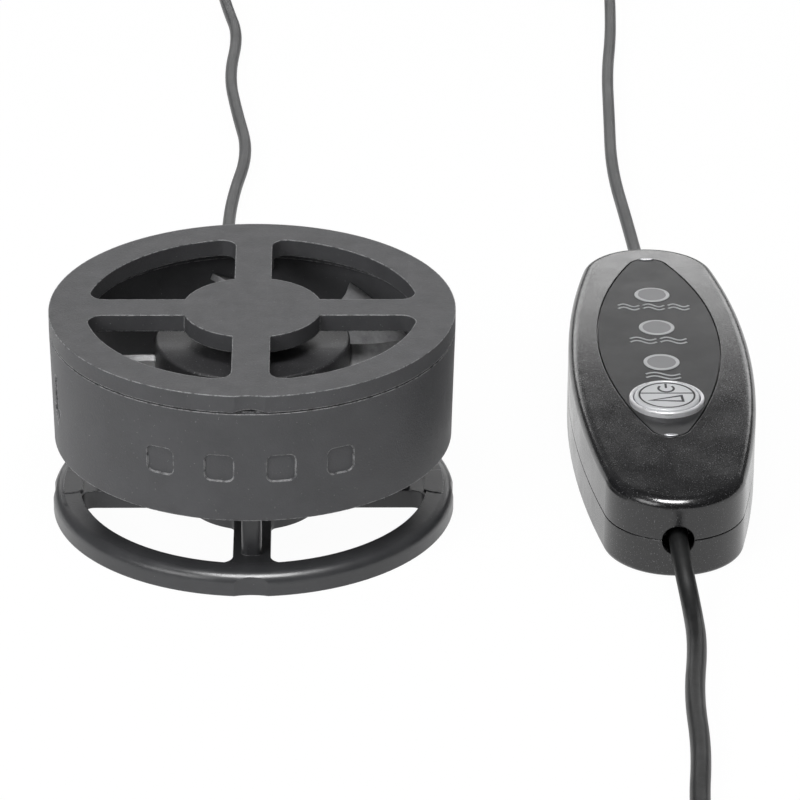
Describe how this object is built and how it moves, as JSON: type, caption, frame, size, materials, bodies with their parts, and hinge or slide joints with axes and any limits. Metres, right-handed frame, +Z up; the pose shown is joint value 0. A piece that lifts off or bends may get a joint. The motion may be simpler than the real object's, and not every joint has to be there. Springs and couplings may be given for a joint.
{
  "type": "wave maker pump",
  "caption": "Flat round axial-flow pump on an open ring stand, with a removable cross-bar grille, an in-line controller with three lamps and a button, and a plug on its cord.",
  "frame": {"origin": "centre of the stand's ring on the surface that it stands on", "axes": "+Z up along the impeller's axis, -Y the front with the finger notch, +X towards the controller"},
  "size_m": [0.1492, 0.5292, 0.043],
  "materials": {
    "housing_plastic": "fine matte moulded, dark grey",
    "stand_plastic": "fine satin moulded, dark grey",
    "impeller_plastic": "satin moulded, dark grey",
    "controller_plastic": "satin gloss, near black with a fine speckle",
    "panel_plastic": "matte film, dark grey",
    "window_plastic": "milky grey light pipe",
    "button_plastic": "pearl silver",
    "bezel_metal": "bright plated",
    "cord_jacket": "satin PVC, dark grey",
    "tie_band": "soft black band",
    "gland_rubber": "matte black",
    "plug_plastic": "satin black",
    "nickel": "nickel plated",
    "plug_insert": "white",
    "contact_gold": "gold plated",
    "screw_steel": "plain steel",
    "shaft_steel": "ground",
    "yoke_steel": "pressed",
    "magnet_ferrite": "sintered, dark grey",
    "bearing_bronze": "sintered",
    "core_steel": "stacked laminations",
    "insulator_plastic": "off-white",
    "winding_copper": "enamelled copper wire",
    "board_laminate": "green solder mask",
    "component_plastic": "black moulded packages",
    "led_lens": "clear tinted",
    "washer_plastic": "white slippery plastic",
    "lead_jacket": "matte black"
  },
  "bodies": {
    "pump": {"housing_shell": "housing_plastic", "base_stand": "stand_plastic", "stand_screws": "screw_steel", "lower_bearing": "bearing_bronze", "upper_bearing": "bearing_bronze", "thrust_washer": "washer_plastic", "bearing_cap": "impeller_plastic", "stator_core": "core_steel", "stator_insulator": "insulator_plastic", "stator_windings": "winding_copper", "drive_board": "board_laminate", "drive_board_parts": "component_plastic", "motor_lead": "lead_jacket", "pump_gland": "gland_rubber", "controller_top_shell": "controller_plastic", "controller_bottom_shell": "controller_plastic", "controller_screws": "screw_steel", "controller_board": "board_laminate", "controller_board_parts": "component_plastic", "indicator_leds": "led_lens", "face_panel": "panel_plastic", "button_bezel": "bezel_metal", "tact_switch": "component_plastic", "rear_cord_clamp": "component_plastic", "front_cord_clamp": "component_plastic", "clamp_screws": "screw_steel", "pump_cord": "cord_jacket", "pump_cord_coil": "cord_jacket", "pump_cord_return": "cord_jacket", "pump_coil_tie": "tie_band", "supply_cord": "cord_jacket", "supply_cord_coil": "cord_jacket", "supply_cord_tail": "cord_jacket", "supply_coil_tie": "tie_band", "usb_plug_grip": "plug_plastic", "usb_plug_shell": "nickel", "usb_plug_tongue": "plug_insert", "usb_contacts": "contact_gold", "lamp_window_high": "window_plastic", "lamp_window_middle": "window_plastic", "lamp_window_low": "window_plastic"},
    "grille": {"cover_grille": "housing_plastic"},
    "rotor": {"impeller": "impeller_plastic", "rotor_yoke": "yoke_steel", "rotor_magnet": "magnet_ferrite", "rotor_shaft": "shaft_steel", "shaft_clip": "screw_steel"},
    "button": {"speed_button": "button_plastic", "switch_plunger": "component_plastic"}
  },
  "joints": [
    {"name": "impeller_spin", "type": "hinge", "parent": "pump", "child": "rotor", "pos_m": [0, 0, 0.018], "axis": [0, 0, 1], "continuous": true},
    {"name": "grille_lift", "type": "slide", "parent": "pump", "child": "grille", "axis": [0, 0, 1], "range_m": [0, 0.02]},
    {"name": "button_press", "type": "slide", "parent": "pump", "child": "button", "axis": [0, 0, -1], "range_m": [0, 0.0005], "stiffness_N_per_m": 400, "springref_m": -0.0005}
  ]
}
